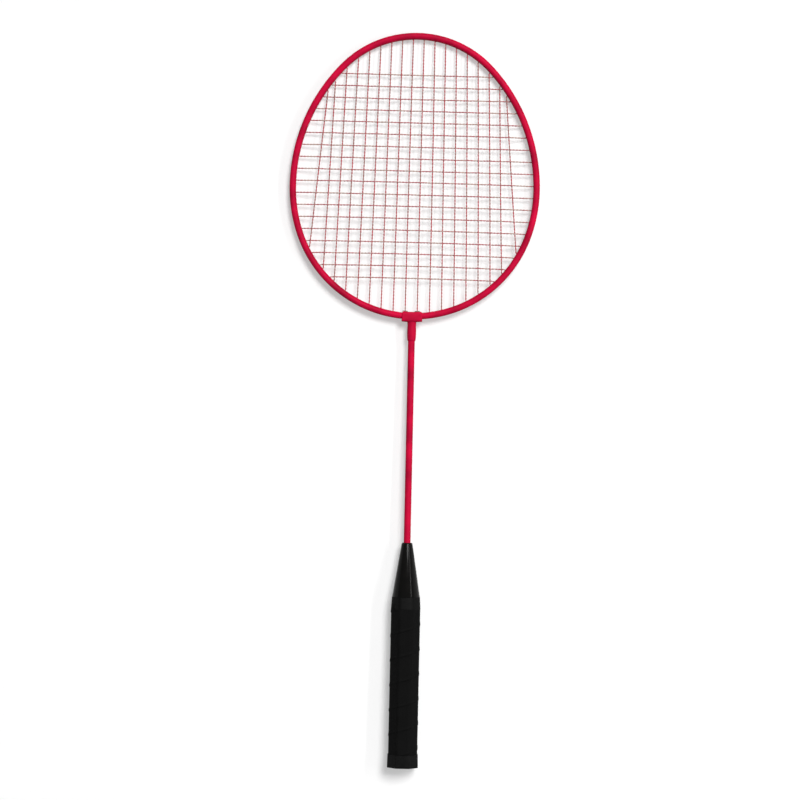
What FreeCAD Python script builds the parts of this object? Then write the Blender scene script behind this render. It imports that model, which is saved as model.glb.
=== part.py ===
import FreeCAD, Part
import math
import os

# A badminton racket that lies flat: grooved steel hoop, two woven strings, T-joint, steel shaft and handle.
# The origin is the middle of the butt's end face. +Y runs to the head, +X across it, +Z out of the strings.
# All sizes are in millimetres, and angles in degrees.

# Whole racket
overall_length = 665.0

# Hoop: its centre line is an egg of tangent arcs, measured from the line where the head is widest.
# A side arc hands over to an end arc where the hoop's normal has turned by the joining angle.
head_half_width = 110.4
head_top_reach = 137.5
head_throat_reach = 116.0
head_top_join = 43.5
head_throat_join = 20.0

# Steel section of the hoop: bevelled flanks, and a string groove round the outside
tube_width = 6.0
tube_depth = 8.6
tube_bevel = 1.7
groove_mouth = 3.6
groove_floor = 3.0
groove_depth = 1.7
hoop_end_gap = 0.4

# Strings: two cords of two plies, laid in different halves of the groove so that they pass without touching
main_count = 18
cross_count = 18
string_diameter = 1.0
string_sides = 6
string_level = 0.65
main_edge_inset = 22.6
main_fan_angle = 3.2
cross_top_inset = 35.4
cross_throat_inset = 32.6
weave_clearance = 0.02
shortest_climb = 6.0
groove_clearance = 0.3
string_lead = 0.6
longest_groove_run = 14.0
string_hole_width = 1.5
string_hole_sides = 4

# Plug in the sockets of the hoop's two ends
plug_half_length = 13.0
plug_width = 3.2
plug_depth = 6.4
plug_clearance = 0.1
socket_floor = 0.5

# Turned outsides, such as the stem and the cone, are drawn with this many flats
turned_sides = 24

# T-joint: a sleeve over the hoop's ends and a stem for the shaft
sleeve_half_length = 9.0
sleeve_inner_wall = 0.8
sleeve_outer_wall = 2.3
sleeve_side_wall = 0.8
sleeve_bevel = 2.0
sleeve_clearance = 0.05
stem_reach = 19.7
stem_root_radius = 4.0
stem_belly_radius = 4.15
stem_belly_reach = 10.5
stem_end_radius = 3.85
stem_end_chamfer = 0.5
stem_web = 1.0

# Eyelets where the middle main strings enter the T-joint
eyelet_sides = 8
eyelet_flange_radius = 2.5
eyelet_flange_height = 0.8
eyelet_barrel_radius = 1.3
eyelet_bore_radius = 0.8
eyelet_clearance = 0.05

# Shaft
shaft_diameter = 6.2
shaft_wall = 0.6
shaft_fit = 0.05
shaft_depth_in_handle = 70.0

# Handle core: a wooden octagon with a cone-shaped spigot
handle_length = 154.3
core_width = 22.8
core_depth = 20.6
core_bevel = 6.3
spigot_length = 24.0
spigot_clearance = 0.1

# Square nail across the handle
nail_width = 1.8
nail_fit = 0.03
nail_from_core_end = 44.0
nail_sink = 0.8

# Cone
cone_length = 49.0
cone_base_diameter = 25.2
cone_tip_diameter = 9.6
cone_wall = 1.2
cone_tip_thickness = 5.0
cone_tip_chamfer = 1.2

# Wrap and the tape round its upper end
wrap_thickness = 1.8
wrap_thickness_under_tape = 1.1
tape_thickness = 0.2
tape_width = 11.0

# Butt cap and its staples
cap_height = 11.7
cap_floor = 2.2
cap_fit = 0.05
cap_rim_wall = 2.35
cap_flare_wall = 2.6
cap_flare_height = 1.5
cap_edge_chamfer = 0.6
staple_spacing = 9.0
staple_length = 11.0
staple_wire = 0.9
staple_leg = 10.0
staple_sink = 0.2
staple_fit = 0.03

# Places that follow from the sizes above
along = FreeCAD.Vector(0, 1, 0)
upward = FreeCAD.Vector(0, 0, 1)
head_y = overall_length - tube_width / 2 - head_top_reach
throat_y = head_y - head_throat_reach
top_y = head_y + head_top_reach
stem_end_y = throat_y - tube_width / 2 - stem_reach
shaft_top_y = throat_y - tube_width / 2 - sleeve_clearance - stem_web
shaft_bottom_y = handle_length - shaft_depth_in_handle
shaft_radius = shaft_diameter / 2
string_radius = string_diameter / 2
entry_offset = -tube_width / 2 - string_lead
groove_offset = tube_width / 2 - groove_depth + string_radius + groove_clearance
sleeve_inner_offset = -tube_width / 2 - sleeve_clearance - sleeve_inner_wall


# ---------------------------------------------------------------- shared geometry

def arc_radii(reach, join):
    """Radii of the side arc and the end arc that reach an end of the hoop and join without a corner."""
    sine = math.sin(math.radians(join))
    cosine = math.cos(math.radians(join))
    share = sine + cosine - 1
    side_radius = (reach * cosine - head_half_width * (1 - sine)) / share
    end_radius = (head_half_width * sine - reach * (1 - cosine)) / share
    return side_radius, end_radius


top_side_radius, top_radius = arc_radii(head_top_reach, head_top_join)
throat_side_radius, throat_radius = arc_radii(head_throat_reach, head_throat_join)


def hoop_arcs():
    """Arcs of the hoop as (centre x, centre y, radius, first angle, last angle), from the throat round."""
    top_x = head_half_width - top_side_radius
    throat_x = head_half_width - throat_side_radius
    top_end_y = head_y + head_top_reach - top_radius
    throat_end_y = head_y - head_throat_reach + throat_radius
    return [
        (0, throat_end_y, throat_radius, -90, -head_throat_join),
        (throat_x, head_y, throat_side_radius, -head_throat_join, 0),
        (top_x, head_y, top_side_radius, 0, head_top_join),
        (0, top_end_y, top_radius, head_top_join, 180 - head_top_join),
        (-top_x, head_y, top_side_radius, 180 - head_top_join, 180),
        (-throat_x, head_y, throat_side_radius, 180, 180 + head_throat_join),
        (0, throat_end_y, throat_radius, 180 + head_throat_join, 270),
    ]


def hoop_direction(angle):
    """Unit vector that points out of the hoop where its normal has this angle."""
    return FreeCAD.Vector(math.cos(math.radians(angle)), math.sin(math.radians(angle)), 0)


def hoop_point(angle, offset, level):
    """Point on the hoop by the angle of its normal, moved out by the offset and up to the level."""
    for centre_x, centre_y, radius, _, last in hoop_arcs():
        if angle <= last:
            break
    return FreeCAD.Vector(centre_x, centre_y, level) + hoop_direction(angle) * (radius + offset)


def hoop_angle(miss, low, high):
    """Angle between low and high where the hoop's string entry meets the line that miss measures."""
    sign = 1 if miss(hoop_point(low, entry_offset, 0)) > 0 else -1
    for _ in range(40):
        middle = (low + high) / 2
        if sign * miss(hoop_point(middle, entry_offset, 0)) > 0:
            low = middle
        else:
            high = middle
    return low


def polygon_face(points):
    return Part.Face(Part.makePolygon(list(points) + [points[0]]))


def bevelled_section(half_width, half_depth, bevel, shift):
    """Bevelled rectangle in the XZ plane, with its middle at X = shift."""
    right = [(half_width, half_depth - bevel), (half_width - bevel, half_depth)]
    upper = right + [(-x, z) for x, z in reversed(right)]
    return polygon_face([FreeCAD.Vector(shift + x, 0, z) for x, z in upper + [(-x, -z) for x, z in upper]])


def ring_solid(rings):
    """Closed solid with flat faces through rings of as many points each."""
    faces = [polygon_face(rings[0]), polygon_face(rings[-1])]
    for ring, following in zip(rings, rings[1:]):
        for side in range(len(ring)):
            after = (side + 1) % len(ring)
            faces.append(polygon_face([ring[side], ring[after], following[after], following[side]]))
    shell = Part.makeShell(faces)
    shell.sewShape()
    solid = Part.makeSolid(shell)
    if solid.Volume < 0:
        solid.reverse()
    return solid


def turned(stations):
    """Many-sided solid about the racket's axis through stations of (y, radius)."""
    rings = []
    for y, radius in stations:
        turns = [2 * math.pi * (k + 0.5) / turned_sides for k in range(turned_sides)]
        rings.append([FreeCAD.Vector(radius * math.cos(turn), y, radius * math.sin(turn)) for turn in turns])
    return ring_solid(rings)


def box(low, high):
    size = high - low
    return Part.makeBox(size.x, size.y, size.z, low)


def swept_along_hoop(section, arc, first, last):
    """Solid made by turning an XZ section about the centre of one of the hoop's arcs."""
    centre_x, centre_y, radius, _, _ = arc
    placed = section.copy()
    placed.translate(FreeCAD.Vector(radius, 0, 0))
    placed.rotate(FreeCAD.Vector(0, 0, 0), upward, first)
    placed.translate(FreeCAD.Vector(centre_x, centre_y, 0))
    return placed.revolve(FreeCAD.Vector(centre_x, centre_y, 0), upward, last - first)


def throat_sweep(section, half_length):
    """Solid with this section along the hoop's arc at the throat, as long on each side of the middle."""
    arc = hoop_arcs()[0]
    half_angle = math.degrees(half_length / throat_radius)
    return swept_along_hoop(section, arc, -90 - half_angle, -90 + half_angle)


def prism(base, direction, length, radius, sides, first_side):
    """Straight bar with a regular section, which has one flat square to first_side."""
    across = first_side.cross(direction).normalize()
    corners = []
    for k in range(sides):
        turn = 2 * math.pi * (k + 0.5) / sides
        corners.append(base + first_side * (radius * math.cos(turn)) + across * (radius * math.sin(turn)))
    return polygon_face(corners).extrude(direction * length)


def radial_bar(angle, level, inner_offset, outer_offset, radius, sides):
    """Bar along the hoop's normal, such as the space of a string hole."""
    base = hoop_point(angle, inner_offset, level)
    return prism(base, hoop_direction(angle), outer_offset - inner_offset, radius, sides, upward)


# ---------------------------------------------------------------- where the strings run

def main_line(index):
    """A main string's X where the head is widest, and how far it leans out for each mm toward the throat."""
    from_middle = index - (main_count - 1) / 2
    outermost = (main_count - 1) / 2
    spread = (head_half_width - main_edge_inset) / outermost
    lean = math.tan(math.radians(main_fan_angle)) / outermost
    return from_middle * spread, from_middle * lean


def main_x(index, y):
    x_at_widest, lean = main_line(index)
    return x_at_widest + lean * (head_y - y)


def cross_y(index):
    highest = top_y - cross_top_inset
    lowest = throat_y + cross_throat_inset
    return highest - index * (highest - lowest) / (cross_count - 1)


def main_hole_angles(index):
    """Angles of a main string's holes at the head's top and at its throat."""
    def miss(point):
        return point.x - main_x(index, point.y)
    if index < main_count / 2:
        return hoop_angle(miss, 0, 180), hoop_angle(miss, 180, 270)
    return hoop_angle(miss, 0, 180), hoop_angle(miss, -90, 0)


def cross_hole_angles(index):
    """Angles of a cross string's holes at the head's right side and at its left side."""
    def miss(point):
        return point.y - cross_y(index)
    return hoop_angle(miss, -90, 90), hoop_angle(miss, 90, 270)


main_holes = [main_hole_angles(index) for index in range(main_count)]
cross_holes = [cross_hole_angles(index) for index in range(cross_count)]


def groove_run(first_angle, last_angle, level):
    """Points between two holes along the groove, close enough to follow its bend."""
    span = hoop_point(first_angle, 0, 0).distanceToPoint(hoop_point(last_angle, 0, 0))
    steps = math.ceil(span / longest_groove_run)
    turn = (last_angle - first_angle + 180) % 360 - 180
    return [hoop_point(first_angle + turn * k / steps, groove_offset, level) for k in range(1, steps)]


def cord_route(runs, level):
    """Route of one cord: each run is (first hole, points between the holes, last hole)."""
    route = []
    for number, (first, between, last) in enumerate(runs):
        if number:
            route += groove_run(runs[number - 1][2], first, level)
        route += [hoop_point(first, groove_offset, level), hoop_point(first, entry_offset, level)]
        route += between
        route += [hoop_point(last, entry_offset, level), hoop_point(last, groove_offset, level)]
    return route


def main_route():
    """Straight runs up and down the head, which leave and enter it by turns."""
    runs = []
    for index, (top, throat) in enumerate(main_holes):
        ends = (throat, top) if index % 2 == 0 else (top, throat)
        runs.append((ends[0], [], ends[1]))
    return cord_route(runs, string_level)


def crossings(index):
    """Points where a cross string weaves over and under the mains, always under one next to its holes."""
    right, left = [hoop_point(angle, entry_offset, 0).x for angle in cross_holes[index]]
    y = cross_y(index)
    rise = string_diameter + weave_clearance
    points = []
    for main in range(main_count):
        x = main_x(main, y)
        to_hole = min(x - left, right - x)
        over = (main + index) % 2 == 0 and to_hole > shortest_climb
        if to_hole > string_diameter:
            points.append(FreeCAD.Vector(x, y, string_level + (rise if over else -rise)))
    return points


def cross_route():
    """Runs from side to side, woven over and under the main strings."""
    runs = []
    for index, (right, left) in enumerate(cross_holes):
        points = crossings(index)
        if index % 2 == 0:
            runs.append((left, points, right))
        else:
            runs.append((right, points[::-1], left))
    return cord_route(runs, -string_level)


def cord(route):
    """Closed solid of a cord with flat sides, mitred where the route turns."""
    direction = (route[1] - route[0]).normalize()
    across = direction.cross(upward).normalize() * string_radius
    over = across.cross(direction)
    turns = [2 * math.pi * k / string_sides for k in range(string_sides)]
    rings = [[route[0] + across * math.cos(turn) + over * math.sin(turn) for turn in turns]]
    for k in range(1, len(route)):
        direction = (route[k] - route[k - 1]).normalize()
        mitre = direction
        if k + 1 < len(route):
            mitre = direction + (route[k + 1] - route[k]).normalize()
        reach = mitre.dot(direction)
        rings.append([point + direction * ((route[k] - point).dot(mitre) / reach) for point in rings[-1]])
    return ring_solid(rings)


# ---------------------------------------------------------------- head

def tube_section():
    """Outline of the hoop's section with its string groove."""
    rim = tube_width / 2
    floor = rim - groove_depth
    flare = (groove_mouth - groove_floor) / groove_depth
    beyond = rim + groove_depth
    mouth = groove_mouth + flare * groove_depth
    upper = [(beyond, mouth / 2), (floor, groove_floor / 2)]
    corners = upper + [(x, -z) for x, z in reversed(upper)]
    groove = polygon_face([FreeCAD.Vector(x, 0, z) for x, z in corners])
    return bevelled_section(rim, tube_depth / 2, tube_bevel, 0).cut(groove).Faces[0]


def plug_section(clearance):
    """Section of the plug, or with a clearance of the socket that takes it."""
    outer = tube_width / 2 - groove_depth - socket_floor + clearance
    inner = outer - plug_width - 2 * clearance
    height = plug_depth / 2 + clearance
    corners = [(inner, -height), (outer, -height), (outer, height), (inner, height)]
    return polygon_face([FreeCAD.Vector(x, 0, z) for x, z in corners])


def string_holes(inner_offset, outer_offset, radius, sides, angles, level):
    return [radial_bar(angle, level, inner_offset, outer_offset, radius, sides) for angle in angles]


def all_string_holes():
    """Spaces of the square holes through the hoop, one for each end of each run."""
    radius = string_hole_width / 2 / math.cos(math.pi / string_hole_sides)
    mains = [angle for pair in main_holes for angle in pair]
    crosses = [angle for pair in cross_holes for angle in pair]
    beyond = tube_width
    holes = string_holes(-beyond, beyond, radius, string_hole_sides, mains, string_level)
    return holes + string_holes(-beyond, beyond, radius, string_hole_sides, crosses, -string_level)


def head_hoop():
    """Grooved steel section bent round the head, open at the throat where its ends meet."""
    section = tube_section()
    arcs = hoop_arcs()
    half_gap = math.degrees(hoop_end_gap / 2 / throat_radius)
    pieces = []
    for number, arc in enumerate(arcs):
        first = arc[3] + (half_gap if number == 0 else 0)
        last = arc[4] - (half_gap if number == len(arcs) - 1 else 0)
        pieces.append(swept_along_hoop(section, arc, first, last))
    hoop = pieces[0].fuse(pieces[1:]).removeSplitter()
    sockets = throat_sweep(plug_section(plug_clearance), plug_half_length + plug_clearance)
    return hoop.cut(Part.makeCompound(all_string_holes() + [sockets]))


def throat_mains(half_length):
    """Angles of the main strings' holes that lie within a length each side of the throat's middle."""
    half_angle = math.degrees(half_length / throat_radius)
    angles = [throat if throat < 0 else throat - 360 for _, throat in main_holes]
    return [angle for angle in angles if abs(angle + 90) < half_angle]


def hoop_joint_plug():
    """Steel plug that lines up the two ends of the hoop, drilled for the strings that pass it."""
    plug = throat_sweep(plug_section(0), plug_half_length)
    radius = string_hole_width / 2 / math.cos(math.pi / string_hole_sides)
    angles = throat_mains(plug_half_length + string_hole_width)
    holes = string_holes(-tube_width, tube_width, radius, string_hole_sides, angles, string_level)
    return plug.cut(Part.makeCompound(holes))


# ---------------------------------------------------------------- throat

def sleeve_section():
    """Outline of the T-joint's sleeve, thicker on the side of its stem."""
    inner = -sleeve_inner_offset
    outer = tube_width / 2 + sleeve_clearance + sleeve_outer_wall
    half_depth = tube_depth / 2 + sleeve_clearance + sleeve_side_wall
    return bevelled_section((inner + outer) / 2, half_depth, sleeve_bevel, (outer - inner) / 2)


def stem():
    """Socket under the sleeve, slightly swollen where the shaft sits in it."""
    return turned([
        (stem_end_y, stem_end_radius - stem_end_chamfer),
        (stem_end_y + stem_end_chamfer, stem_end_radius),
        (stem_end_y + stem_belly_reach, stem_belly_radius),
        (throat_y, stem_root_radius),
    ])


def eyelet_seats():
    """Spaces for the barrels of the eyelets through the sleeve's inner wall."""
    radius = eyelet_barrel_radius + eyelet_clearance
    angles = throat_mains(sleeve_half_length)
    return string_holes(-tube_width, 0, radius, eyelet_sides, angles, string_level)


def t_joint():
    """Sleeve over the hoop's ends, with a stem that takes the end of the shaft."""
    body = throat_sweep(sleeve_section(), sleeve_half_length).fuse(stem()).removeSplitter()
    half_width = tube_width / 2 + sleeve_clearance
    half_depth = tube_depth / 2 + sleeve_clearance
    passage = throat_sweep(bevelled_section(half_width, half_depth, tube_bevel, 0), 2 * sleeve_half_length)
    bore_base = FreeCAD.Vector(0, stem_end_y - stem_web, 0)
    bore = Part.makeCylinder(shaft_radius + shaft_fit, shaft_top_y - bore_base.y, bore_base, along)
    return body.cut(Part.makeCompound([passage, bore] + eyelet_seats()))


def throat_eyelets():
    """Flanged bushes that keep the middle main strings off the edge of the T-joint."""
    eyelets = []
    for angle in throat_mains(sleeve_half_length):
        seat = sleeve_inner_offset - eyelet_clearance
        flange_top = seat - eyelet_flange_height
        flange = radial_bar(angle, string_level, flange_top, seat, eyelet_flange_radius, eyelet_sides)
        barrel_end = -tube_width / 2 - sleeve_clearance
        barrel = radial_bar(angle, string_level, flange_top, barrel_end, eyelet_barrel_radius, eyelet_sides)
        bore = radial_bar(angle, string_level, -2 * tube_width, 0, eyelet_bore_radius, eyelet_sides)
        eyelets.append(flange.fuse(barrel).removeSplitter().cut(bore))
    return Part.makeCompound(eyelets)


def shaft():
    """Steel tube from the stem down into the handle, with a cross hole for the nail."""
    length = shaft_top_y - shaft_bottom_y
    base = FreeCAD.Vector(0, shaft_bottom_y, 0)
    tube = Part.makeCylinder(shaft_radius, length, base, along)
    inside = Part.makeCylinder(shaft_radius - shaft_wall, length, base, along)
    return tube.cut(inside).cut(nail_hole())


# ---------------------------------------------------------------- handle

def handle_octagon(y, growth):
    """Corners of an octagon across the handle, with every flat moved out from the core by the growth."""
    half_width = core_width / 2 + growth
    half_depth = core_depth / 2 + growth
    bevel = core_bevel + growth * (2 - math.sqrt(2))
    quarter = [(half_width, half_depth - bevel), (half_width - bevel, half_depth)]
    half = quarter + [(-x, z) for x, z in reversed(quarter)]
    return [FreeCAD.Vector(x, y, z) for x, z in half + [(-x, -z) for x, z in half]]


def handle_piece(stations):
    """Octagonal solid through stations of (y, growth)."""
    return ring_solid([handle_octagon(y, growth) for y, growth in stations])


def nail_bar(half_width, half_length):
    """Square bar through the handle at the place of its nail."""
    middle = FreeCAD.Vector(0, handle_length - nail_from_core_end, 0)
    corner = FreeCAD.Vector(half_width, half_width, half_length)
    return box(middle - corner, middle + corner)


def shaft_nail():
    return nail_bar(nail_width / 2, core_depth / 2 - nail_sink)


def nail_hole():
    return nail_bar(nail_width / 2 + nail_fit, core_depth)


def cone_stations(inset, first_y, last_y):
    """Stations of the cone's taper between two heights, moved in from its outside."""
    slope = (cone_base_diameter - cone_tip_diameter) / 2 / cone_length
    radii = [cone_base_diameter / 2 - slope * (y - handle_length) - inset for y in (first_y, last_y)]
    return [(first_y, radii[0]), (last_y, radii[1])]


def cone():
    """Plastic shell that closes the step between handle and shaft, thick at its tip."""
    tip_y = handle_length + cone_length
    outside = cone_stations(0, handle_length, tip_y - cone_tip_chamfer)
    outside.append((tip_y, cone_tip_diameter / 2 - cone_tip_chamfer / 2))
    inside = cone_stations(cone_wall, handle_length, tip_y - cone_tip_thickness)
    bore = Part.makeCylinder(shaft_radius + shaft_fit, overall_length, FreeCAD.Vector(0, 0, 0), along)
    return turned(outside).cut(Part.makeCompound([turned(inside), bore]))


def handle_core():
    """Wooden octagon with a spigot for the cone, bored for the shaft, the nail and the staples."""
    body = handle_piece([(cap_floor, 0), (handle_length, 0)])
    spigot_end_y = handle_length + spigot_length
    spigot = turned(cone_stations(cone_wall + spigot_clearance, handle_length, spigot_end_y))
    base = FreeCAD.Vector(0, shaft_bottom_y, 0)
    bore = Part.makeCylinder(shaft_radius + shaft_fit, overall_length, base, along)
    return body.fuse(spigot).cut(Part.makeCompound([bore, nail_hole()] + staple_spaces()))


def taped_stations(growth):
    """Stations of the wrap's outside where the tape holds it, or of the tape with its thickness added."""
    tape_y = handle_length - tape_width
    return [(tape_y, wrap_thickness + growth), (handle_length, wrap_thickness_under_tape + growth)]


def grip_wrap():
    """Soft strip wound on the core, pressed thinner where the tape holds it."""
    outside = [(cap_height, wrap_thickness)] + taped_stations(0)
    inside = [(0, 0), (overall_length, 0)]
    return handle_piece(outside).cut(handle_piece(inside))


def grip_end_tape():
    """Band of tape over the upper end of the wrap."""
    return handle_piece(taped_stations(tape_thickness)).cut(handle_piece(taped_stations(0)))


def staple_pair(growth, crown_y):
    """Two wire staples from the crown's height up into the core, their wire thickened by the growth."""
    half = staple_wire / 2 + growth
    reach = staple_length / 2 + growth
    inner_reach = reach - 2 * half
    crown_top = staple_sink + staple_wire + growth
    pieces = []
    for z in (-staple_spacing / 2, staple_spacing / 2):
        low = FreeCAD.Vector(-reach, crown_y, z - half)
        high = FreeCAD.Vector(reach, staple_leg + growth, z + half)
        between_low = FreeCAD.Vector(-inner_reach, crown_top, z - 2 * half)
        between_high = FreeCAD.Vector(inner_reach, handle_length, z + 2 * half)
        pieces.append(box(low, high).cut(box(between_low, between_high)))
    return pieces


def butt_cap_staples():
    return Part.makeCompound(staple_pair(0, staple_sink))


def staple_spaces():
    return staple_pair(staple_fit, 0)


def butt_cap():
    """Flared octagonal cup over the end of the core, with sunk seats for its staples."""
    outside = handle_piece([
        (0, cap_flare_wall - cap_edge_chamfer),
        (cap_edge_chamfer, cap_flare_wall),
        (cap_flare_height, cap_flare_wall),
        (cap_height, cap_rim_wall),
    ])
    pocket = handle_piece([(cap_floor, cap_fit), (cap_height + cap_floor, cap_fit)])
    return outside.cut(Part.makeCompound([pocket] + staple_spaces()))


# ---------------------------------------------------------------- files

nodes = {
    "head_hoop": head_hoop(),
    "hoop_joint_plug": hoop_joint_plug(),
    "t_joint": t_joint(),
    "throat_eyelets": throat_eyelets(),
    "main_string": cord(main_route()),
    "cross_string": cord(cross_route()),
    "shaft": shaft(),
    "handle_core": handle_core(),
    "shaft_nail": shaft_nail(),
    "cone": cone(),
    "grip_wrap": grip_wrap(),
    "grip_end_tape": grip_end_tape(),
    "butt_cap": butt_cap(),
    "butt_cap_staples": butt_cap_staples(),
}

os.makedirs("parts", exist_ok=True)
for name, shape in nodes.items():
    shape.exportStep(os.path.join("parts", name + ".step"))
    print(name, "solids", len(shape.Solids), "valid", shape.isValid(), "volume", round(shape.Volume, 1))
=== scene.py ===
import bpy
import math
import random
from math import radians
from mathutils import Matrix, Vector


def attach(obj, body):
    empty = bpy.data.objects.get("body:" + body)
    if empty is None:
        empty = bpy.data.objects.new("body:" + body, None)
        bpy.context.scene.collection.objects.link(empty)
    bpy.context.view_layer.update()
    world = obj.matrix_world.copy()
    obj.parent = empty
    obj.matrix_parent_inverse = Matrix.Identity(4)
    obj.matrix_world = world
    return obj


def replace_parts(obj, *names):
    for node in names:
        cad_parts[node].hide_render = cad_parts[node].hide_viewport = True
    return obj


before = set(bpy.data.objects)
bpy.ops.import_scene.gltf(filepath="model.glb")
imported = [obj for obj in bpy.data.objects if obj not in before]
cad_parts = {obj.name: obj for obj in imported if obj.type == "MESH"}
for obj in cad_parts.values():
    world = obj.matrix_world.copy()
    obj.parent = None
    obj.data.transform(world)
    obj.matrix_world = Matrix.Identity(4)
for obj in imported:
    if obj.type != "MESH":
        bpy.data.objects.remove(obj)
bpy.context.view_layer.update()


# ---------------------------------------------------------------- Hoop
# A steel strip rolled to an oval tube with a string groove round its outside, bent to an egg.
# It is drilled for the strings and stove-enamelled crimson, and its two ends meet in the T-joint.

hoop_half_width = 0.1104
widest_y = 0.5245
top_reach, top_join = 0.1375, 43.5
throat_reach, throat_join = 0.116, 20
hoop_radius = 0.003
hoop_flank = 0.0013
groove_depth = 0.0017
groove_widening = 1.695
groove_lip = 0.00035
enamel_gap = 0.0002
hole_radius = 0.00075


def egg_radii(reach, join):
    """Radii of the side arc and the end arc that meet smoothly where the hoop has turned by join."""
    sine, cosine = math.sin(radians(join)), math.cos(radians(join))
    share = sine + cosine - 1
    side = (reach * cosine - hoop_half_width * (1 - sine)) / share
    end = (hoop_half_width * sine - reach * (1 - cosine)) / share
    return side, end


top_side, top_end = egg_radii(top_reach, top_join)
throat_side, throat_end = egg_radii(throat_reach, throat_join)
throat_centre_y = widest_y - throat_reach + throat_end
hoop_arcs = [
    (0, throat_centre_y, throat_end, -90, -throat_join),
    (hoop_half_width - throat_side, widest_y, throat_side, -throat_join, 0),
    (hoop_half_width - top_side, widest_y, top_side, 0, top_join),
    (0, widest_y + top_reach - top_end, top_end, top_join, 180 - top_join),
    (top_side - hoop_half_width, widest_y, top_side, 180 - top_join, 180),
    (throat_side - hoop_half_width, widest_y, throat_side, 180, 180 + throat_join),
    (0, throat_centre_y, throat_end, 180 + throat_join, 270),
]


def outward(angle):
    return Vector((math.cos(radians(angle)), math.sin(radians(angle)), 0))


def hoop_spot(angle, out, level):
    """The point on the hoop's line where it faces the angle, moved outward and up to a level."""
    x, y, radius = next(arc[:3] for arc in hoop_arcs if angle <= arc[4])
    return Vector((x, y, level)) + outward(angle) * (radius + out)


def opened(name):
    """Name the new primitive, put its place into its mesh and open it in edit mode."""
    piece = bpy.context.object
    piece.name = piece.data.name = name
    bpy.ops.object.transform_apply()
    bpy.ops.object.mode_set(mode="EDIT")
    return piece


def pick(kind, rule):
    """Select the open piece's vertices by their place, or its edges by the places of their two ends."""
    bpy.ops.mesh.select_mode(type=kind)
    bpy.ops.mesh.select_all(action="DESELECT")
    bpy.ops.object.mode_set(mode="OBJECT")
    mesh = bpy.context.object.data
    if kind == "VERT":
        for vertex in mesh.vertices:
            vertex.select = rule(vertex.co)
    else:
        for edge in mesh.edges:
            edge.select = rule(*[mesh.vertices[k].co for k in edge.vertices])
    bpy.ops.object.mode_set(mode="EDIT")


def oval_section(name, radius):
    """A ring in the XZ plane whose upper and lower halves stand apart by the hoop's flat flanks."""
    bpy.ops.object.select_all(action="DESELECT")
    bpy.ops.mesh.primitive_circle_add(vertices=40, radius=radius, rotation=(radians(90), 0, 0))
    piece = opened(name)
    for side in (1, -1):
        pick("VERT", lambda p: p.z * side > 1e-5)
        bpy.ops.transform.translate(value=(0, 0, side * hoop_flank))
    return piece


def to_throat(piece, angle):
    """Stand a section on the hoop's line at the throat, facing the angle, and open it again."""
    bpy.ops.object.mode_set(mode="OBJECT")
    piece.rotation_euler.z = radians(angle)
    piece.location = Vector((0, throat_centre_y, 0)) + outward(angle) * throat_end
    bpy.ops.object.transform_apply()
    bpy.ops.object.mode_set(mode="EDIT")
    bpy.ops.mesh.select_all(action="SELECT")


def swing(x, y, turn, steps):
    """Spin what is selected about an upright line."""
    bpy.ops.mesh.spin(steps=steps, angle=radians(turn), center=(x, y, 0), axis=(0, 0, -1))


def closed(piece):
    """Join the seams, close open ends, turn the faces outward and leave edit mode."""
    bpy.ops.mesh.select_mode(type="VERT")
    bpy.ops.mesh.select_all(action="SELECT")
    bpy.ops.mesh.remove_doubles(threshold=1e-6)
    bpy.ops.mesh.fill_holes(sides=0)
    bpy.ops.mesh.select_all(action="SELECT")
    bpy.ops.mesh.normals_make_consistent(inside=False)
    bpy.ops.object.mode_set(mode="OBJECT")
    return piece


def select_only(piece):
    bpy.ops.object.select_all(action="DESELECT")
    piece.select_set(True)
    bpy.context.view_layer.objects.active = piece


def carried_out(piece, kind, **settings):
    """Give the piece a modifier and apply it."""
    modifier = piece.modifiers.new(kind, kind)
    for setting, value in settings.items():
        setattr(modifier, setting, value)
    select_only(piece)
    bpy.ops.object.modifier_apply(modifier=modifier.name)


def cut_away(piece, tool):
    """Take the tool's space out of the piece, and the tool off the bench."""
    carried_out(piece, "BOOLEAN", operation="DIFFERENCE", solver="EXACT", object=tool)
    bpy.data.objects.remove(tool)


def copies_joined(master, places):
    """Copy a master, each copy with its own mesh, to each place, and join the copies into one piece."""
    bpy.ops.object.select_all(action="DESELECT")
    for place in places:
        copy = master.copy()
        copy.data = master.data.copy()
        copy.matrix_world = place
        bpy.context.scene.collection.objects.link(copy)
        copy.select_set(True)
        bpy.context.view_layer.objects.active = copy
    bpy.data.objects.remove(master)
    bpy.ops.object.join()
    bpy.ops.object.transform_apply()
    return bpy.context.object


def at_hole(angle, out, level):
    """The place of something made upright at the origin once its top faces into the hoop at a hole."""
    inward = -outward(angle)
    side = Vector((0, 0, 1)).cross(inward)
    turn = Matrix((side, inward.cross(side), inward)).transposed().to_4x4()
    return Matrix.Translation(hoop_spot(angle, out, level)) @ turn


def smoothed(piece, angle):
    select_only(piece)
    bpy.ops.object.shade_smooth_by_angle(angle=radians(angle))


def fitted(piece, finish, slot, *nodes):
    """Dress a finished piece, hang it on the racket and let it stand for its CAD nodes."""
    piece.data.materials.clear()
    piece.data.materials.append(finish)
    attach(piece, "root")
    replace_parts(piece, *nodes)


def new_finish(name):
    finish = bpy.data.materials.new(name)
    finish.use_nodes = True
    return finish, finish.node_tree, finish.node_tree.nodes["Principled BSDF"]


def add(tree, kind, inputs=None, **settings):
    """Add a node, with its settings, and with values or other nodes' outputs for its inputs."""
    made = tree.nodes.new("ShaderNode" + kind)
    for setting, value in settings.items():
        setattr(made, setting, value)
    for socket, value in (inputs or {}).items():
        if isinstance(value, bpy.types.NodeSocket):
            tree.links.new(value, made.inputs[socket])
        else:
            made.inputs[socket].default_value = value
    return made


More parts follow.
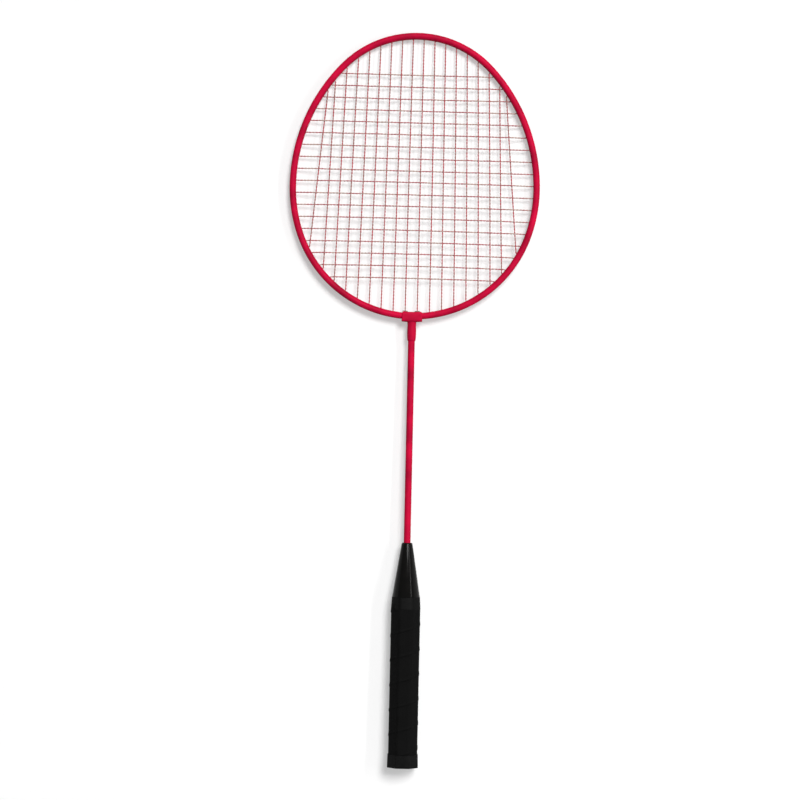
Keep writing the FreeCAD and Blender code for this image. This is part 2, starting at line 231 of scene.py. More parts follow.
def object_place(tree):
    return add(tree, "TexCoord").outputs["Object"]


def noise(tree, scale, detail=2.0, roughness=0.5):
    inputs = {"Vector": object_place(tree), "Scale": scale, "Detail": detail, "Roughness": roughness}
    return add(tree, "TexNoise", inputs).outputs["Fac"]


def ramp(tree, source, low, high, first=0.0, last=1.0):
    """A value that runs from first to last while its source runs from low to high."""
    inputs = {"Value": source, "From Min": low, "From Max": high, "To Min": first, "To Max": last}
    return add(tree, "MapRange", inputs).outputs["Result"]


def blend(tree, share, one, other):
    """A colour between one and the other."""
    inputs = {0: share, 6: one, 7: other}
    return add(tree, "Mix", inputs, data_type="RGBA").outputs[2]


def bump(tree, height, distance, normal=None):
    inputs = {"Height": height, "Distance": distance, "Strength": 1.0}
    if normal:
        inputs["Normal"] = normal
    return add(tree, "Bump", inputs).outputs["Normal"]


def feed(tree, shader, **inputs):
    for socket, source in inputs.items():
        tree.links.new(source, shader.inputs[socket.replace("_", " ")])


crimson, tree, shader = new_finish("crimson_enamel")
cloudy = ramp(tree, noise(tree, 55, 3), 0.33, 0.67)
body = blend(tree, cloudy, (0.37, 0.0025, 0.028, 1), (0.60, 0.003, 0.043, 1))
speck = ramp(tree, noise(tree, 1500, 2), 0.70, 0.76)
chips = ramp(tree, noise(tree, 420, 4, 0.7), 0.735, 0.75)
body = blend(tree, speck, body, (0.30, 0.006, 0.022, 1))
body = blend(tree, chips, body, (0.16, 0.07, 0.065, 1))
peel = bump(tree, noise(tree, 800, 2), 0.00002)
peel = bump(tree, chips, -0.00004, peel)
feed(tree, shader, Base_Color=body, Normal=peel)
feed(tree, shader, Roughness=ramp(tree, noise(tree, 220, 3), 0.3, 0.7, 0.4, 0.56))
shader.inputs["Specular IOR Level"].default_value = 0.05

hoop = oval_section("hoop", hoop_radius)
pick("VERT", lambda p: p.x > 0.0029 and abs(p.z) < 0.0019)
bpy.ops.mesh.subdivide(number_cuts=1)
pick("VERT", lambda p: p.x > 0.0029 and abs(p.z) < 0.0012)
bpy.ops.transform.translate(value=(-groove_depth, 0, 0))
bpy.ops.transform.resize(value=(1, 1, groove_widening), center_override=(0, 0, 0))
pick("VERT", lambda p: p.x > 0.001 and abs(abs(p.z) - 0.00177) < 1e-5)
bpy.ops.mesh.bevel(offset=groove_lip, segments=3, affect="VERTICES")
gap_angle = math.degrees(enamel_gap / throat_end)
to_throat(hoop, -90 + gap_angle)
for number, (x, y, _, first, last) in enumerate(hoop_arcs):
    turn = last - first - (gap_angle if number in (0, 6) else 0)
    swing(x, y, turn, math.ceil(turn / 1.6))
closed(hoop)

# The strings' holes: each main string passes the hoop at its top and its throat, each cross at its two sides.
# Strung by hand, the mains fan a little, the whole bed is slightly askew, and no string is quite straight.
string_count = 18
main_level = 0.00065
cross_level = -0.00065
entry_out = -0.0036
main_spacing = 0.0104
main_fan = 0.005
main_turn = 0.007
outer_main_fan = 0.0475
top_cross = 0.6269
cross_spacing = 0.0109
cross_turn = 0.006
cross_lift, flat_cross = 0.0001, 5
bed_middle, bed_half_length, bed_half_width = 0.535, 0.125, 0.11
hand = random.Random(18)
main_lie = [hand.uniform(-0.0005, 0.0005) for _ in range(string_count)]
cross_lie = [hand.uniform(-0.0003, 0.0003) for _ in range(string_count)]


def bow(place, middle, half):
    """A gentle bow: 1 in the middle, falling to 0 at half a span to either side."""
    return max(0, 1 - ((place - middle) / half) ** 2)


def main_x(index, y):
    """Where a main string lies across the head at a height, the outermost ones leaning in more at the top."""
    step = index - (string_count - 1) / 2
    fan = step * main_fan - main_turn
    if index in (0, string_count - 1):
        fan += math.copysign(outer_main_fan, step)
    return step * main_spacing + fan * (widest_y - y) + main_lie[index] * bow(y, bed_middle, bed_half_length)


def cross_y(index, x):
    """How high a cross string lies: evenly spaced, and the lower it is, the more it bows up in the middle."""
    lift = cross_lie[index] + cross_lift * (index - flat_cross)
    return top_cross - index * cross_spacing - cross_turn * x + lift * bow(x, 0, bed_half_width)


def hole_angle(miss, low, high):
    """Where between two angles the hoop's inner face meets the string that miss measures from."""
    sign = math.copysign(1, miss(hoop_spot(low, entry_out, 0)))
    for _ in range(40):
        middle = (low + high) / 2
        if sign * miss(hoop_spot(middle, entry_out, 0)) > 0:
            low = middle
        else:
            high = middle
    return low


def main_holes(index):
    def miss(p):
        return p.x - main_x(index, p.y)
    throat = (180, 270) if index < string_count / 2 else (-90, 0)
    return hole_angle(miss, 0, 180), hole_angle(miss, *throat)


def cross_holes(index):
    def miss(p):
        return p.y - cross_y(index, p.x)
    return hole_angle(miss, -90, 90), hole_angle(miss, 90, 270)


mains = [main_holes(index) for index in range(string_count)]
crosses = [cross_holes(index) for index in range(string_count)]
bpy.ops.object.select_all(action="DESELECT")
bpy.ops.mesh.primitive_cylinder_add(vertices=12, radius=hole_radius, depth=0.012)
drill = closed(opened("drill"))
for pairs, level in ((mains, main_level), (crosses, cross_level)):
    master = drill.copy()
    cut_away(hoop, copies_joined(master, [at_hole(angle, 0, level) for pair in pairs for angle in pair]))
bpy.data.objects.remove(drill)
smoothed(hoop, 35)
fitted(hoop, crimson, "red_enamel", "head_hoop")


# ---------------------------------------------------------------- Plug in the hoop's ends
# A short bar of bright steel pushed into both ends of the hoop, so that they stay in line.
# The middle main strings pass through it.

steel, tree, shader = new_finish("bare_steel")
grain = add(tree, "Mapping", {"Vector": object_place(tree), "Scale": (3000, 200, 3000)}).outputs["Vector"]
drawn = add(tree, "TexNoise", {"Vector": grain, "Scale": 1.0, "Detail": 3.0}).outputs["Fac"]
dull = ramp(tree, noise(tree, 300, 4), 0.45, 0.7)
feed(tree, shader, Base_Color=blend(tree, dull, (0.52, 0.51, 0.49, 1), (0.24, 0.20, 0.16, 1)))
feed(tree, shader, Roughness=ramp(tree, drawn, 0.3, 0.7, 0.28, 0.55), Normal=bump(tree, drawn, 0.00001))
shader.inputs["Metallic"].default_value = 1.0


def dress(node, finish):
    """Give a CAD node that stays its finish."""
    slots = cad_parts[node].material_slots
    for slot in slots:
        slot.material = finish
    if not slots:
        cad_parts[node].data.materials.append(finish)


dress("hoop_joint_plug", steel)


# ---------------------------------------------------------------- T-joint
# A pressed steel sleeve over the meeting ends of the hoop, with a short stem for the shaft.
# Sleeve and stem are brazed, so the corner between them is filled, and enamelled with the hoop.

sleeve_half_angle = math.degrees(0.009 / throat_end)
sleeve_width, sleeve_depth = 0.0092, 0.0103
sleeve_corner = 0.0021
sleeve_clearance = 0.00005
shaft_bore = 0.00315


def extruded(stations):
    """Draw the selected ring out along the racket through stations of (y, half width, half depth)."""
    for (y, width, depth), (next_y, next_width, next_depth) in zip(stations, stations[1:]):
        bpy.ops.mesh.extrude_region_move(TRANSFORM_OT_translate={"value": (0, next_y - y, 0)})
        size = (next_width / width, 1, next_depth / depth)
        bpy.ops.transform.resize(value=size, center_override=(0, next_y, 0))


def turned(name, sides, stations):
    """A round piece about the racket's axis through stations of (y, radius)."""
    bpy.ops.object.select_all(action="DESELECT")
    bpy.ops.mesh.primitive_circle_add(
        vertices=sides, radius=stations[0][1], location=(0, stations[0][0], 0), rotation=(radians(90), 0, 0))
    piece = opened(name)
    bpy.ops.mesh.select_all(action="SELECT")
    extruded([(y, radius, radius) for y, radius in stations])
    return closed(piece)


bpy.ops.object.select_all(action="DESELECT")
bpy.ops.mesh.primitive_plane_add(size=1, location=(0.00075, 0, 0), rotation=(radians(90), 0, 0))
bpy.context.object.scale = (sleeve_width, sleeve_depth, 1)
sleeve = opened("t_joint_piece")
bpy.ops.mesh.select_mode(type="VERT")
bpy.ops.mesh.select_all(action="SELECT")
bpy.ops.mesh.bevel(offset=sleeve_corner, segments=5, affect="VERTICES")
to_throat(sleeve, -90 - sleeve_half_angle)
swing(0, throat_centre_y, 2 * sleeve_half_angle, 14)
closed(sleeve)
stem = turned("stem", 56, [
    (0.4060, 0.0042), (0.4005, 0.0040), (0.3985, 0.00398), (0.3955, 0.00415), (0.3925, 0.00415),
    (0.3890, 0.0040), (0.3870, 0.0038), (0.3860, 0.00350), (0.3858, 0.0033)])
carried_out(sleeve, "BOOLEAN", operation="UNION", solver="EXACT", object=stem)
bpy.data.objects.remove(stem)
carried_out(sleeve, "REMESH", mode="VOXEL", voxel_size=0.0002)
carried_out(sleeve, "SMOOTH", factor=0.5, iterations=40)
passage = oval_section("passage", hoop_radius + sleeve_clearance)
to_throat(passage, -90 - 2 * sleeve_half_angle)
swing(0, throat_centre_y, 4 * sleeve_half_angle, 28)
cut_away(sleeve, closed(passage))
cut_away(sleeve, turned("bore", 48, [(0.380, shaft_bore), (0.4044, shaft_bore)]))
eyelet_angles = (mains[8][1] - 360, mains[9][1])
bpy.ops.object.select_all(action="DESELECT")
bpy.ops.mesh.primitive_cylinder_add(vertices=24, radius=0.00135, depth=0.004)
seat = closed(opened("seat"))
cut_away(sleeve, copies_joined(seat, [at_hole(angle, -0.0035, main_level) for angle in eyelet_angles]))
smoothed(sleeve, 35)
fitted(sleeve, crimson, "red_enamel", "t_joint")


# ---------------------------------------------------------------- Eyelets
# Two brown moulded bushes in the T-joint's inner wall, where the middle main strings enter it.
# Each has a rounded flange outside, so that the string doesn't chafe on the steel's edge.

horn, tree, shader = new_finish("brown_eyelet")
cloud = noise(tree, 900, 3)
brown = blend(tree, ramp(tree, cloud, 0.3, 0.7), (0.16, 0.095, 0.07, 1), (0.26, 0.17, 0.13, 1))
feed(tree, shader, Base_Color=brown, Normal=bump(tree, noise(tree, 2500), 0.00001))
feed(tree, shader, Roughness=ramp(tree, cloud, 0.3, 0.7, 0.35, 0.55))

bpy.ops.object.select_all(action="DESELECT")
bpy.ops.mesh.primitive_circle_add(vertices=32, radius=0.0008, location=(0, 0, -0.0008))
eyelet = opened("eyelet")
bpy.ops.mesh.select_all(action="SELECT")
rings = [
    (-0.0008, 0.0008), (0.0005, 0.0008), (0.0007, 0.0009), (0.0008, 0.00115), (0.0008, 0.0016),
    (0.0007, 0.0021), (0.0005, 0.0024), (0.00025, 0.0025), (0.0, 0.00245), (0.0, 0.0013),
    (-0.0008, 0.0013), (-0.0008, 0.0008)]
for (z, radius), (next_z, next_radius) in zip(rings, rings[1:]):
    bpy.ops.mesh.extrude_region_move(TRANSFORM_OT_translate={"value": (0, 0, next_z - z)})
    size = (next_radius / radius, next_radius / radius, 1)
    bpy.ops.transform.resize(value=size, center_override=(0, 0, next_z))
closed(eyelet)
eyelets = copies_joined(eyelet, [at_hole(angle, -0.0039, main_level) for angle in eyelet_angles])
eyelets.name = "string_eyelets"
smoothed(eyelets, 50)
fitted(eyelets, horn, "eyelet_plastic", "throat_eyelets")


# ---------------------------------------------------------------- Shaft
# A thin-walled steel tube, enamelled like the hoop, pushed into the T-joint's stem and brazed.
# Its lower end is held in the wooden handle by a nail.

shaft = turned("shaft_tube", 48, [
    (0.0843, 0.0025), (0.0843, 0.0029), (0.0845, 0.0031), (0.3000, 0.0031), (0.4042, 0.0031),
    (0.4044, 0.0029), (0.4044, 0.0025), (0.0843, 0.0025)])
smoothed(shaft, 40)
fitted(shaft, crimson, "red_enamel", "shaft")


# ---------------------------------------------------------------- Handle core and its nail
# An eight-sided stick of pale wood with a tapered spigot, bored for the shaft.
# A steel nail goes through wood and shaft.

wood, tree, shader = new_finish("pale_wood")
fibres = add(tree, "Mapping", {"Vector": object_place(tree), "Scale": (900, 14, 900)}).outputs["Vector"]
fibre = add(tree, "TexNoise", {"Vector": fibres, "Scale": 1.0, "Detail": 4.0}).outputs["Fac"]
heart_place = {"Vector": object_place(tree), "Location": (0.03, 0, 0.02), "Scale": (1, 0.06, 1)}
heart = add(tree, "Mapping", heart_place).outputs["Vector"]
growth_rings = {"Vector": heart, "Scale": 170.0, "Distortion": 2.0, "Detail": 2.0}
year = add(tree, "TexWave", growth_rings, wave_type="RINGS", rings_direction="Y").outputs["Fac"]
pale = blend(tree, ramp(tree, year, 0.2, 0.9), (0.60, 0.42, 0.24, 1), (0.42, 0.26, 0.13, 1))
feed(tree, shader, Base_Color=blend(tree, ramp(tree, fibre, 0.5, 0.8), pale, (0.32, 0.19, 0.09, 1)))
feed(tree, shader, Roughness=ramp(tree, fibre, 0.2, 0.8, 0.6, 0.8), Normal=bump(tree, fibre, 0.00006))
dress("handle_core", wood)
dress("shaft_nail", steel)


# ---------------------------------------------------------------- Cone
# A hard shell moulded in glossy black plastic, slid down the shaft on to the core's spigot.
# It closes the step between handle and shaft.

gloss, tree, shader = new_finish("black_cone_plastic")
haze = noise(tree, 160, 4)
fine = noise(tree, 1400, 2)
feed(tree, shader, Base_Color=blend(tree, haze, (0.004, 0.004, 0.004, 1), (0.0065, 0.006, 0.0055, 1)))
feed(tree, shader, Roughness=ramp(tree, haze, 0.3, 0.7, 0.15, 0.22), Normal=bump(tree, fine, 0.000006))
shader.inputs["Specular IOR Level"].default_value = 0.08

core_end = 0.1543
cone = turned("cone_shell", 72, [
    (core_end, 0.0114), (core_end, 0.01225), (0.1544, 0.01246), (0.1547, 0.01254), (0.2018, 0.00504),
    (0.2024, 0.00488), (0.2030, 0.00462), (0.2033, 0.0042), (0.2033, 0.0035), (0.2031, shaft_bore),
    (0.1983, shaft_bore), (0.1983, 0.0044), (core_end, 0.0114)])
smoothed(cone, 35)
fitted(cone, gloss, "cone_plastic", "cone")


# ---------------------------------------------------------------- Grip wrap
# A strip of black imitation leather wound up the core in an overlapping spiral.
# Each turn's edge stands a little over the turn below it.

wrap_bottom = 0.0117
tape_bottom = 0.1433
wrap_pitch = 0.0224
wrap_thickness = 0.0018
wrap_rows = 188
core_half_width, core_half_depth = 0.0114, 0.0103
handle_corner = 0.0063
edge_height = 0.00045
core_clearance = 0.00005


def octagon_at(y, growth):
    """Station of (y, half width, half depth) of the eight-sided handle, grown from the core."""
    return y, core_half_width + growth, core_half_depth + growth


def octagon(name, y, growth, softness):
    """A ring with the handle's eight sides and softened corners at a height."""
    _, width, depth = octagon_at(y, growth)
    bpy.ops.object.select_all(action="DESELECT")
    bpy.ops.mesh.primitive_plane_add(size=2, location=(0, y, 0), rotation=(radians(90), 0, 0))
    bpy.context.object.scale = (width, depth, 1)
    piece = opened(name)
    bpy.ops.mesh.select_mode(type="VERT")
    bpy.ops.mesh.select_all(action="SELECT")
    corner = handle_corner + growth * 0.586
    bpy.ops.mesh.bevel(offset=corner, segments=1, affect="VERTICES", clamp_overlap=False)
    bpy.ops.mesh.select_all(action="SELECT")
    bpy.ops.mesh.bevel(offset=softness, segments=4, affect="VERTICES")
    bpy.ops.mesh.select_all(action="SELECT")
    bpy.ops.mesh.delete(type="ONLY_FACE")
    bpy.ops.mesh.select_all(action="SELECT")
    return piece


def spiral(y, x, z):
    """How far a point lies up its turn of the strip, from 0 at the edge below it to 1 at the next edge."""
    return ((y - wrap_bottom) / wrap_pitch - math.atan2(x, z) / (2 * math.pi)) % 1.0


leather, tree, shader = new_finish("black_leatherette")
split = add(tree, "SeparateXYZ", {"Vector": object_place(tree)}).outputs
round_turn = add(tree, "Math", {0: split["X"], 1: split["Z"]}, operation="ARCTAN2").outputs[0]
up_turn = add(tree, "Math", {0: split["Y"], 1: 1 / wrap_pitch}, operation="MULTIPLY").outputs[0]
less_turn = {0: round_turn, 1: -1 / (2 * math.pi), 2: up_turn}
lie = add(tree, "Math", less_turn, operation="MULTIPLY_ADD").outputs[0]
lie = add(tree, "Math", {0: lie, 1: -wrap_bottom / wrap_pitch}, operation="ADD").outputs[0]
lie = add(tree, "Math", {0: lie, 1: 1.0}, operation="FLOORED_MODULO").outputs[0]
# Painted shade: this mask darkens the leather along the foot of each turn's raised edge, where the step would
# shade it.
painted_seam_shade = ramp(tree, lie, 0.0, 0.03, 1.0, 0.0)
pore_cells = {"Vector": object_place(tree), "Scale": 1150.0, "Randomness": 0.9}
pores = add(tree, "TexVoronoi", pore_cells).outputs["Distance"]
worn = noise(tree, 70, 4)
patches = ramp(tree, worn, 0.35, 0.7)
colour = blend(tree, patches, (0.0028, 0.0028, 0.0028, 1), (0.0044, 0.0044, 0.0044, 1))
# The painted seam shade: a darker black blended in along that mask.
colour = blend(tree, painted_seam_shade, colour, (0.0015, 0.0015, 0.0015, 1))
relief = bump(tree, pores, 0.00012, bump(tree, noise(tree, 240, 3), 0.0001))
feed(tree, shader, Base_Color=colour, Roughness=ramp(tree, worn, 0.3, 0.7, 0.62, 0.78), Normal=relief)
shader.inputs["Specular IOR Level"].default_value = 0.05

wrap = octagon("wrap", wrap_bottom, wrap_thickness, 0.0016)
pick("EDGE", lambda a, b: (a - b).length > 0.004)
bpy.ops.mesh.subdivide(number_cuts=7)
bpy.ops.mesh.select_mode(type="VERT")
bpy.ops.mesh.select_all(action="SELECT")
heights = [wrap_bottom + (tape_bottom - wrap_bottom) * row / wrap_rows for row in range(wrap_rows + 1)]
extruded([octagon_at(y, wrap_thickness) for y in heights])
extruded([
    octagon_at(tape_bottom, wrap_thickness), octagon_at(core_end, 0.0011),
    octagon_at(core_end, core_clearance), octagon_at(wrap_bottom, core_clearance),
    octagon_at(wrap_bottom, wrap_thickness)])
closed(wrap)
raised = wrap.vertex_groups.new(name="raised")
for vertex in wrap.data.vertices:
    x, y, z = vertex.co
    on_face = max(abs(x) / 0.0132, abs(z) / 0.0121, (abs(x) + abs(z)) / 0.01795) > 0.99
    if on_face and wrap_bottom + 0.0002 < y < tape_bottom:
        up = spiral(y, x, z)
        raised.add([vertex.index], max(0.0, 1 - up / 0.12) if up > 0.02 else up / 0.02, "REPLACE")
carried_out(wrap, "DISPLACE", strength=edge_height, mid_level=0.0, vertex_group="raised")
smoothed(wrap, 50)
fitted(wrap, leather, "grip_leatherette", "grip_wrap")


# ---------------------------------------------------------------- End tape
# A band of thin black plastic tape round the top of the wrap, drawn tight over its taper.

tape_black, tree, shader = new_finish("black_tape")
stretch = add(tree, "Mapping", {"Vector": object_place(tree), "Scale": (90, 700, 90)}).outputs["Vector"]
pucker = add(tree, "TexNoise", {"Vector": stretch, "Scale": 1.0, "Detail": 3.0}).outputs["Fac"]
feed(tree, shader, Base_Color=blend(tree, pucker, (0.0035, 0.0035, 0.0035, 1), (0.0055, 0.0055, 0.0055, 1)))
feed(tree, shader, Roughness=ramp(tree, pucker, 0.3, 0.7, 0.4, 0.55), Normal=bump(tree, pucker, 0.00008))
shader.inputs["Specular IOR Level"].default_value = 0.05

tape = octagon("tape", tape_bottom, wrap_thickness, 0.0022)
extruded([
    octagon_at(tape_bottom, wrap_thickness), octagon_at(tape_bottom, 0.00193),
    octagon_at(tape_bottom + 0.0001, 0.0020), octagon_at(tape_bottom + 0.0003, 0.00199),
    octagon_at(tape_bottom + 0.0060, 0.00162), octagon_at(core_end - 0.0004, 0.00132),
    octagon_at(core_end - 0.0002, 0.0013), octagon_at(core_end, 0.0012), octagon_at(core_end, 0.0011),
    octagon_at(tape_bottom, wrap_thickness)])
closed(tape)
smoothed(tape, 50)
fitted(tape, tape_black, "tape_plastic", "grip_end_tape")


# ---------------------------------------------------------------- Butt cap and its staples
# A flared eight-sided cup moulded in black plastic over the end of the core, against the start of the wrap.
# Two wire staples driven into the wood hold it.

moulded, tree, shader = new_finish("black_cap_plastic")
matt = noise(tree, 1800, 3)
scuff = noise(tree, 120, 5, 0.65)
rubbed = ramp(tree, scuff, 0.4, 0.7)
feed(tree, shader, Base_Color=blend(tree, rubbed, (0.0035, 0.0035, 0.0035, 1), (0.0065, 0.0065, 0.0065, 1)))
feed(tree, shader, Roughness=ramp(tree, scuff, 0.3, 0.7, 0.42, 0.58), Normal=bump(tree, matt, 0.00003))
shader.inputs["Specular IOR Level"].default_value = 0.06

cap_floor = 0.0022
cap = octagon("cap", cap_floor, core_clearance, 0.0003)
extruded([
    octagon_at(cap_floor, core_clearance), octagon_at(wrap_bottom, core_clearance),
    octagon_at(wrap_bottom, 0.0021), octagon_at(0.0115, 0.00235), octagon_at(0.0015, 0.0026),
    octagon_at(0.0006, 0.0026), octagon_at(0.00015, 0.0024), octagon_at(0.0, 0.0020)])
closed(cap)
smoothed(cap, 30)
fitted(cap, moulded, "cap_plastic", "butt_cap")
dress("butt_cap_staples", steel)


# ---------------------------------------------------------------- Strings
# Two lengths of nylon twist, one crimson ply laid up with one undyed ply, which together are 1.3 mm thick.
# The first runs up and down through the hoop, and the second is woven across it from side to side.

lay_of_twist = 0.006
sample = lay_of_twist / 8
ply_radius = 0.00036
ply_offset = 0.00028
groove_out = 0.0021
groove_mean_radius = 0.11
straight_end = 0.006
main_dip = 0.00032
cross_rise = 0.0008


def straight(a, b):
    """Points a sample apart from a toward b, without b."""
    count = max(1, round((b - a).length / sample))
    return [a.lerp(b, k / count) for k in range(count)]


def meeting(main, cross):
    """Where a main string and a cross string meet in the plane of the head."""
    y = cross_y(cross, main_x(main, cross_y(cross, 0)))
    x = main_x(main, y)
    return x, cross_y(cross, x)


def cross_over(main, cross):
    """Whether the cross passes over the main there, which it never does close to its own holes."""
    x, y = meeting(main, cross)
    right, left = [hoop_spot(angle, entry_out, 0).x for angle in crosses[cross]]
    return (main + cross) % 2 == 0 and min(x - left, right - x) > straight_end


def waved(path, knots, level):
    """Lift each point of a run by a smooth wave through knots of (distance along the run, height)."""
    start = path[0]
    for point in path:
        reach = (point - start).length
        before = max(knots, key=lambda k: k[0] if k[0] <= reach else -1)
        after = min(knots, key=lambda k: k[0] if k[0] > reach else 9)
        share = (reach - before[0]) / (after[0] - before[0]) if after[0] > before[0] else 0
        share = (1 - math.cos(math.pi * share)) / 2
        point.z = level + before[1] + (after[1] - before[1]) * share
    return path


def main_run(index, up):
    top, throat = [hoop_spot(angle, entry_out, main_level) for angle in mains[index]]
    path = straight(throat, top)
    for point in path:
        point.x = main_x(index, point.y)
    knots = [(0, 0), ((top - throat).length, 0)]
    for cross in range(string_count):
        x, y = meeting(index, cross)
        if throat.y + 0.001 < y < top.y - 0.001:
            height = -main_dip if cross_over(index, cross) else main_dip
            knots.append(((Vector((x, y, main_level)) - throat).length, height))
    path = waved(path, sorted(knots), main_level)
    return path if up else path[::-1]


def cross_run(index, to_right):
    right, left = [hoop_spot(angle, entry_out, cross_level) for angle in crosses[index]]
    path = straight(left, right)
    for point in path:
        point.y = cross_y(index, point.x)
    knots = [(0, 0), ((right - left).length, 0)]
    lift = main_level - cross_level
    for main in range(string_count):
        x, y = meeting(main, index)
        if left.x + 0.001 < x < right.x - 0.001:
            height = lift + (cross_rise if cross_over(main, index) else -cross_rise)
            knots.append(((Vector((x, y, cross_level)) - left).length, height))
    path = waved(path, sorted(knots), cross_level)
    return path if to_right else path[::-1]


def whole_string(runs, level):
    """One string's line: out of each hole, along the groove to the next, and in again."""
    line = []
    for number, (first, run, last) in enumerate(runs):
        if number:
            start = runs[number - 1][2]
            turn = (first - start + 180) % 360 - 180
            span = abs(radians(turn)) * groove_mean_radius
            count = max(2, round(span / sample))
            line += [hoop_spot(start + turn * k / count, groove_out, level) for k in range(count)]
        line += straight(hoop_spot(first, groove_out, level), hoop_spot(first, entry_out, level))
        line += run
        line += straight(hoop_spot(last, entry_out, level), hoop_spot(last, groove_out, level))
    for _ in range(2):
        line = [line[0]] + [(a + b * 2 + c) / 4 for a, b, c in zip(line, line[1:], line[2:])] + [line[-1]]
    return line


def twisted(name, line, finishes):
    """Two round plies laid round a line, as one piece."""
    cord = bpy.data.curves.new(name, "CURVE")
    cord.dimensions = "3D"
    cord.bevel_depth = ply_radius
    cord.bevel_resolution = 1
    cord.use_fill_caps = True
    for ply in range(2):
        spline = cord.splines.new("POLY")
        spline.points.add(len(line) - 1)
        spline.material_index = ply
        travelled = 0
        for k, point in enumerate(line):
            ahead = line[min(k + 1, len(line) - 1)] - line[max(k - 1, 0)]
            side = ahead.cross(Vector((0, 0, 1))).normalized()
            over = side.cross(ahead).normalized()
            if k:
                travelled += (point - line[k - 1]).length
            turn = 2 * math.pi * travelled / lay_of_twist + math.pi * ply
            spline.points[k].co = (*(point + (side * math.cos(turn) + over * math.sin(turn)) * ply_offset), 1)
    piece = bpy.data.objects.new(name, cord)
    bpy.context.scene.collection.objects.link(piece)
    select_only(piece)
    bpy.ops.object.convert(target="MESH")
    piece = bpy.context.object
    piece.name = piece.data.name = name
    bpy.ops.object.shade_smooth()
    piece.data.materials.clear()
    for finish in finishes:
        piece.data.materials.append(finish)
    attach(piece, "root")
    return piece


def nylon(name, own, other, low, high):
    finish, tree, shader = new_finish(name)
    dye = ramp(tree, noise(tree, 80, 1), low, high)
    strands = ramp(tree, noise(tree, 2600, 2), 0.3, 0.7)
    colour = blend(tree, dye, own, other)
    shade = blend(tree, strands, colour, (0.33, 0.17, 0.145, 1))
    tint = blend(tree, 0.25, colour, shade)
    feed(tree, shader, Base_Color=tint, Roughness=ramp(tree, strands, 0.0, 1.0, 0.4, 0.6))
    feed(tree, shader, Normal=bump(tree, noise(tree, 2600, 2), 0.00002))
    shader.inputs["Specular IOR Level"].default_value = 0.4
    return finish


dyed = nylon("crimson_nylon", (0.49, 0.05, 0.072, 1), (0.35, 0.15, 0.13, 1), 0.46, 0.60)
undyed = nylon("natural_nylon", (0.47, 0.32, 0.27, 1), (0.46, 0.12, 0.14, 1), 0.42, 0.54)

main_runs = []
cross_runs = []
for index in range(string_count):
    top, throat = mains[index]
    up = index % 2 == 0
    main_runs.append((throat, main_run(index, up), top) if up else (top, main_run(index, up), throat))
    right, left = crosses[index]
    cross_runs.append((left, cross_run(index, up), right) if up else (right, cross_run(index, up), left))
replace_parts(twisted("main_cord", whole_string(main_runs, main_level), (dyed, undyed)), "main_string")
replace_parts(twisted("cross_cord", whole_string(cross_runs, cross_level), (undyed, dyed)), "cross_string")


# ---------------------------------------------------------------- Studio
# The racket rests on a pale floor on the wide end of its cone and the top of its hoop.
# A key lamp stands beyond the head, with a soft sky, and a strip lamp draws a line of gloss on the cone.

floor_low, floor_low_y = -0.01256, 0.1547
floor_high, floor_high_y = -0.0043, 0.663
floor_glow = 0.41
sky_light = 0.18


def seen_as_white(tree):
    """1 on the rays that only look at the floor or sky, 0 on the light that they throw on the racket."""
    rays = add(tree, "LightPath").outputs
    straight_or_mirrored = {0: rays["Is Camera Ray"], 1: rays["Is Glossy Ray"]}
    seen = add(tree, "Math", straight_or_mirrored, operation="MAXIMUM").outputs[0]
    return add(tree, "Math", {0: seen, 1: rays["Is Transmission Ray"]}, operation="MAXIMUM").outputs[0]


slope = math.atan2(floor_high - floor_low, floor_high_y - floor_low_y)
bpy.ops.object.select_all(action="DESELECT")
bpy.ops.mesh.primitive_plane_add(size=8, location=(0, 0, 0))
floor = bpy.context.object
floor.name = "floor"
bpy.ops.object.mode_set(mode="EDIT")
bpy.ops.mesh.subdivide(number_cuts=3)
bpy.ops.object.mode_set(mode="OBJECT")
floor.rotation_euler.x = slope
floor.location = (0, 0, floor_low - floor_low_y * math.tan(slope) - 0.0001)
bpy.ops.object.transform_apply()
paper, tree, shader = new_finish("pale_floor")
fleck = ramp(tree, noise(tree, 30, 2), 0.3, 0.7)
feed(tree, shader, Base_Color=blend(tree, fleck, (0.545, 0.545, 0.545, 1), (0.555, 0.555, 0.555, 1)))
shader.inputs["Roughness"].default_value = 0.95
shader.inputs["Specular IOR Level"].default_value = 0.0
seen = seen_as_white(tree)
glow = add(tree, "Math", {0: seen, 1: floor_glow}, operation="MULTIPLY").outputs[0]
feed(tree, shader, Emission_Strength=glow)
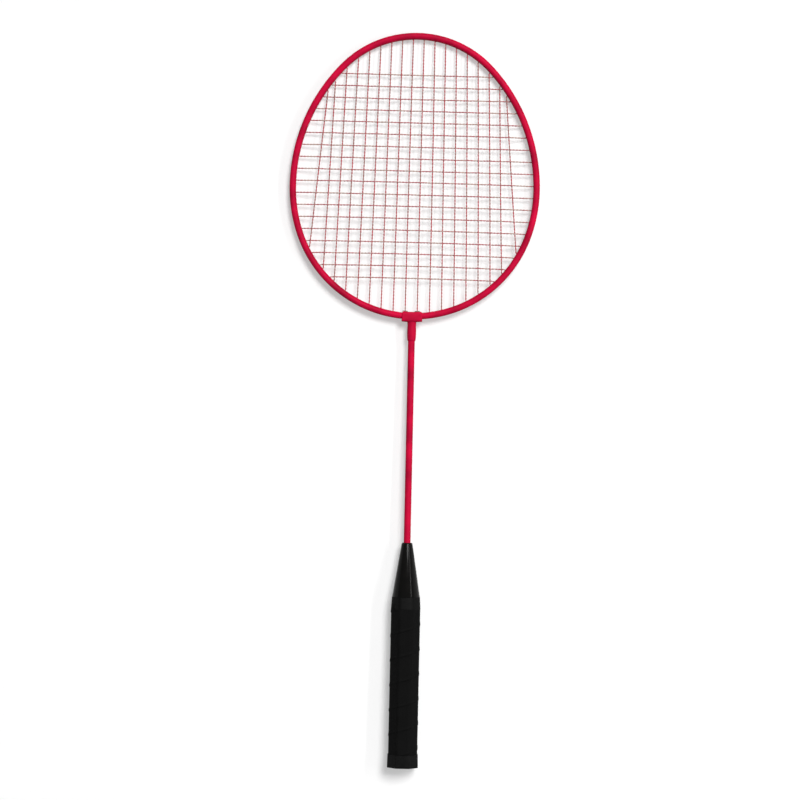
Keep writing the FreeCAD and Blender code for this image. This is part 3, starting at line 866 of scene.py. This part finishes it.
shader.inputs["Emission Color"].default_value = (1, 1, 1, 1)
floor.data.materials.append(paper)

sky = bpy.data.worlds.new("sky")
bpy.context.scene.world = sky
sky.use_nodes = True
tree = sky.node_tree
around = add(tree, "TexCoord").outputs["Generated"]
height = add(tree, "SeparateXYZ", {"Vector": around}).outputs["Z"]
seen = seen_as_white(tree)
low_sky = ramp(tree, height, 0.22, 0.36, 1.0, 0.0)
bright = add(tree, "Math", {0: seen, 1: low_sky}, operation="MULTIPLY").outputs[0]
strength = ramp(tree, bright, 0.0, 1.0, sky_light, 1.0)
tree.links.new(strength, tree.nodes["Background"].inputs["Strength"])
tree.nodes["Background"].inputs["Color"].default_value = (1, 1, 1, 1)


def lamp(name, kind, energy, place, aim, **settings):
    data = bpy.data.lights.new(name, kind)
    data.energy = energy
    for setting, value in settings.items():
        setattr(data, setting, value)
    made = bpy.data.objects.new(name, data)
    made.location = place
    made.rotation_euler = (Vector(aim) - Vector(place)).to_track_quat("-Z", "Y").to_euler()
    bpy.context.scene.collection.objects.link(made)
    return made


key_turn, key_height = radians(31), radians(61)
key_reach = math.cos(key_height)
key_from = Vector((math.sin(key_turn) * key_reach, math.cos(key_turn) * key_reach, math.sin(key_height)))
lamp("key", "SUN", 3.0, key_from * 2, (0, 0, 0), angle=radians(22))
cone_middle = Vector((0, 0.178, 0))
strip_from = Vector((0.697, 0.194, 0.690))
strip = lamp("strip", "AREA", 3.4, cone_middle + strip_from * 1.2, cone_middle,
             shape="RECTANGLE", size=0.05, size_y=0.9)
strip.rotation_euler = (0, math.atan2(strip_from.x, strip_from.z), 0)

camera = bpy.data.cameras.new("camera")
camera.sensor_width = 36
camera.lens = 129.2
camera.clip_start, camera.clip_end = 0.01, 50
viewer = bpy.data.objects.new("camera", camera)
viewer.location = (-0.0092, 0.3324, 2.6)
viewer.rotation_euler = (0, 0, radians(1.2277))
bpy.context.scene.collection.objects.link(viewer)
bpy.context.scene.camera = viewer
bpy.context.scene.view_settings.view_transform = "Standard"
